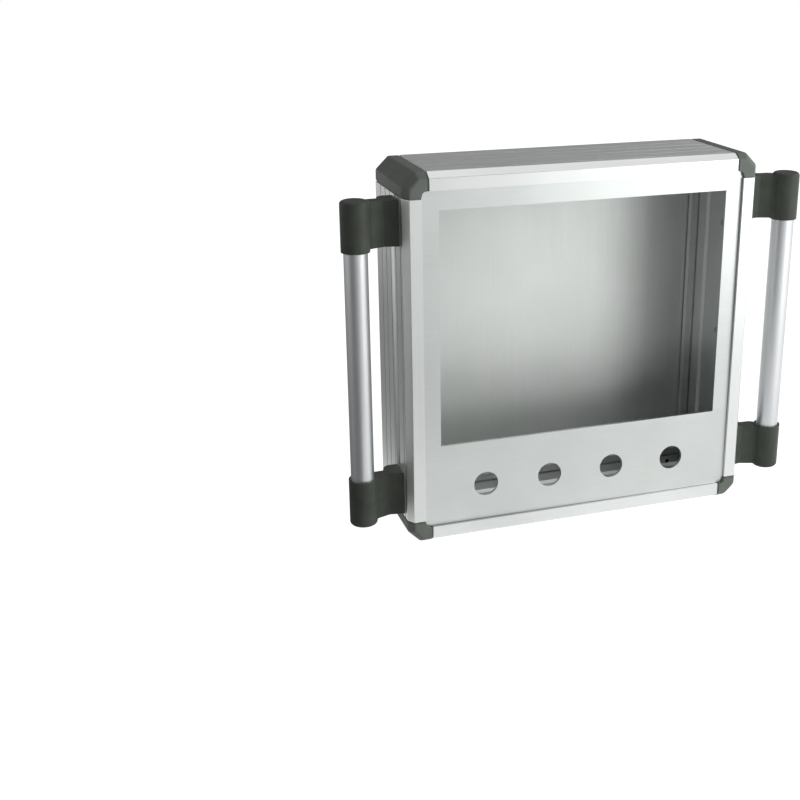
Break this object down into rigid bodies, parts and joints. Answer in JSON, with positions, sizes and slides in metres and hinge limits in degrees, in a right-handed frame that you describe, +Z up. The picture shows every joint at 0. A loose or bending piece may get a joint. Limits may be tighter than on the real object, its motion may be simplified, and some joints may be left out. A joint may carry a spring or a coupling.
{
  "type": "touch screen enclosure",
  "caption": "Aluminium-framed operator panel enclosure with a screen cut-out, push-button holes, cast corners, side grab handles and a hinged rear door.",
  "frame": {"origin": "middle of the frame's flat underside", "axes": "+X to the object's right seen from the front, +Y from the front to the back, +Z up"},
  "size_m": [0.4194, 0.0975, 0.326],
  "materials": {
    "frame_aluminium": "satin anodised extrusion",
    "plate_aluminium": "fine brushed and anodised",
    "door_aluminium": "mill finish sheet",
    "tube_aluminium": "satin anodised tube",
    "corner_plastic": "moulded, lightly grained, dark grey",
    "bracket_plastic": "moulded, lightly grained, near black",
    "gasket_rubber": "closed-cell foam",
    "screw_steel": "zinc plated",
    "hinge_zinc": "satin zinc plated",
    "latch_chrome": "satin chromed zinc casting"
  },
  "bodies": {
    "frame": {"profile_left": "frame_aluminium", "profile_top": "frame_aluminium", "profile_right": "frame_aluminium", "profile_bottom": "frame_aluminium", "corner_top_left": "corner_plastic", "corner_top_right": "corner_plastic", "corner_bottom_left": "corner_plastic", "corner_bottom_right": "corner_plastic", "front_plate": "plate_aluminium", "front_gasket": "gasket_rubber", "plate_clamps": "screw_steel", "clamp_nuts": "screw_steel", "corner_screws_front": "screw_steel", "corner_screws_rear": "screw_steel", "hinge_frame_leaf_lower": "hinge_zinc", "hinge_frame_leaf_upper": "hinge_zinc", "hinge_pin_lower": "screw_steel", "hinge_pin_upper": "screw_steel", "hinge_screws_frame": "screw_steel", "handle_bracket_left_top": "bracket_plastic", "handle_bracket_left_bottom": "bracket_plastic", "handle_bracket_right_top": "bracket_plastic", "handle_bracket_right_bottom": "bracket_plastic", "handle_tube_left": "tube_aluminium", "handle_tube_right": "tube_aluminium", "handle_screws_left": "screw_steel", "handle_screws_right": "screw_steel", "tube_screws_left": "screw_steel", "tube_screws_right": "screw_steel"},
    "door": {"rear_door": "door_aluminium", "door_gasket": "gasket_rubber", "hinge_screws_door": "screw_steel", "hinge_door_leaf_lower": "hinge_zinc", "hinge_door_leaf_upper": "hinge_zinc", "latch_housing_lower": "latch_chrome", "latch_housing_upper": "latch_chrome", "latch_nut_lower": "screw_steel", "latch_nut_upper": "screw_steel"},
    "latch_lower": {"latch_core_lower": "latch_chrome", "latch_cam_lower": "screw_steel", "latch_cam_screw_lower": "screw_steel"},
    "latch_upper": {"latch_core_upper": "latch_chrome", "latch_cam_upper": "screw_steel", "latch_cam_screw_upper": "screw_steel"}
  },
  "joints": [
    {"name": "door_hinge", "type": "hinge", "parent": "frame", "child": "door", "pos_m": [0.1485, 0.049, 0.163], "axis": [0, 0, -1], "range_deg": [0, 180]},
    {"name": "latch_lower_turn", "type": "hinge", "parent": "door", "child": "latch_lower", "pos_m": [-0.123, 0.04, 0.083], "axis": [0, -1, 0], "range_deg": [0, 90]},
    {"name": "latch_upper_turn", "type": "hinge", "parent": "door", "child": "latch_upper", "pos_m": [-0.123, 0.04, 0.243], "axis": [0, -1, 0], "range_deg": [0, 90]}
  ]
}
